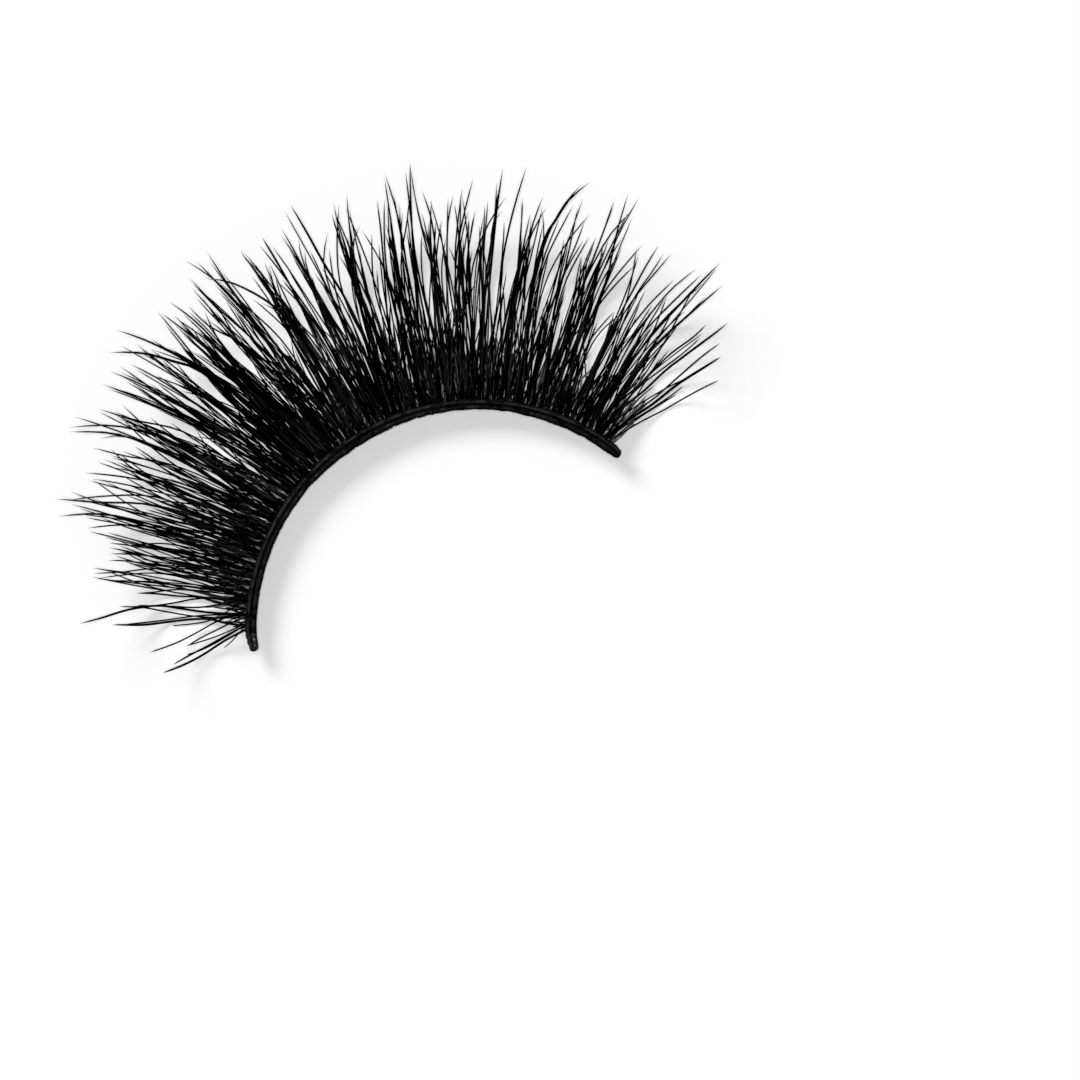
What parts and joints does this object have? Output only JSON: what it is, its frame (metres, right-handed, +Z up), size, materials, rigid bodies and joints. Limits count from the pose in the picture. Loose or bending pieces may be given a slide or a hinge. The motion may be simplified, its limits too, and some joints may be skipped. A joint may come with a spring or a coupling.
{
  "type": "false eyelash strip",
  "caption": "Curved strip of false eyelashes: a thin arched band with tufts of hair along its outer edge, dense at the root, forked into pointed locks and curled up at the tips.",
  "frame": {"origin": "on the surface that the strip lies on, under the middle of its box", "axes": "+X along the chord between the band's two ends, towards the outer corner, +Y outwards from the band's crown towards the tips, +Z up, the way the tips curl"},
  "size_m": [0.0462, 0.0242, 0.0066],
  "materials": {
    "band": "black cotton thread set in clear black glue, satin",
    "hair": "fine black synthetic hair with a soft sheen"
  },
  "bodies": {
    "root": {"lash_band": "band", "lash_tuft_01": "hair", "lash_tuft_02": "hair", "lash_tuft_03": "hair", "lash_tuft_04": "hair", "lash_tuft_05": "hair", "lash_tuft_06": "hair", "lash_tuft_07": "hair", "lash_tuft_08": "hair", "lash_tuft_09": "hair", "lash_tuft_10": "hair", "lash_tuft_11": "hair", "lash_tuft_12": "hair", "lash_tuft_13": "hair", "lash_tuft_14": "hair", "lash_tuft_15": "hair", "lash_tuft_16": "hair", "lash_tuft_17": "hair", "lash_tuft_18": "hair"}
  },
  "joints": []
}
